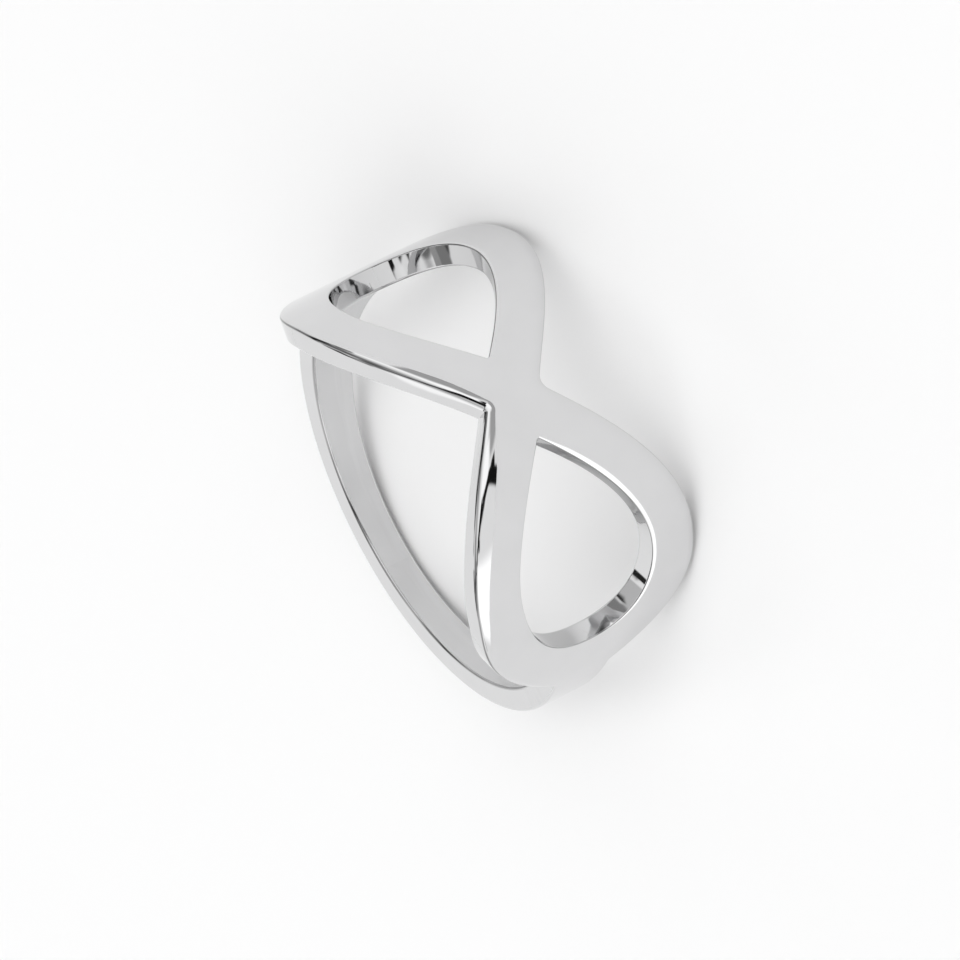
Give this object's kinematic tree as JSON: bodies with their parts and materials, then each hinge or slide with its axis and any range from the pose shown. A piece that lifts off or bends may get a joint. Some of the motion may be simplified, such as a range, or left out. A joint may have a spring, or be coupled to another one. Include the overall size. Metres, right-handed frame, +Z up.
{
  "type": "infinity ring",
  "caption": "Finger ring whose front is a lying figure eight with open loops, on a narrow tapered band.",
  "frame": {"origin": "on the supporting surface, below the middle of the ring's box, with the ring lying on its side on its two loops and the back of its band", "axes": "+Z up; -Y towards the crossing of the figure at the front; +X across the figure, from loop to loop; the finger's axis leans 17.3 degrees from +Z towards +Y"},
  "size_m": [0.019, 0.0188, 0.0105],
  "materials": {
    "silver": "polished silver, bright outside and satin inside"
  },
  "bodies": {
    "root": {"ring": "silver"}
  },
  "joints": []
}
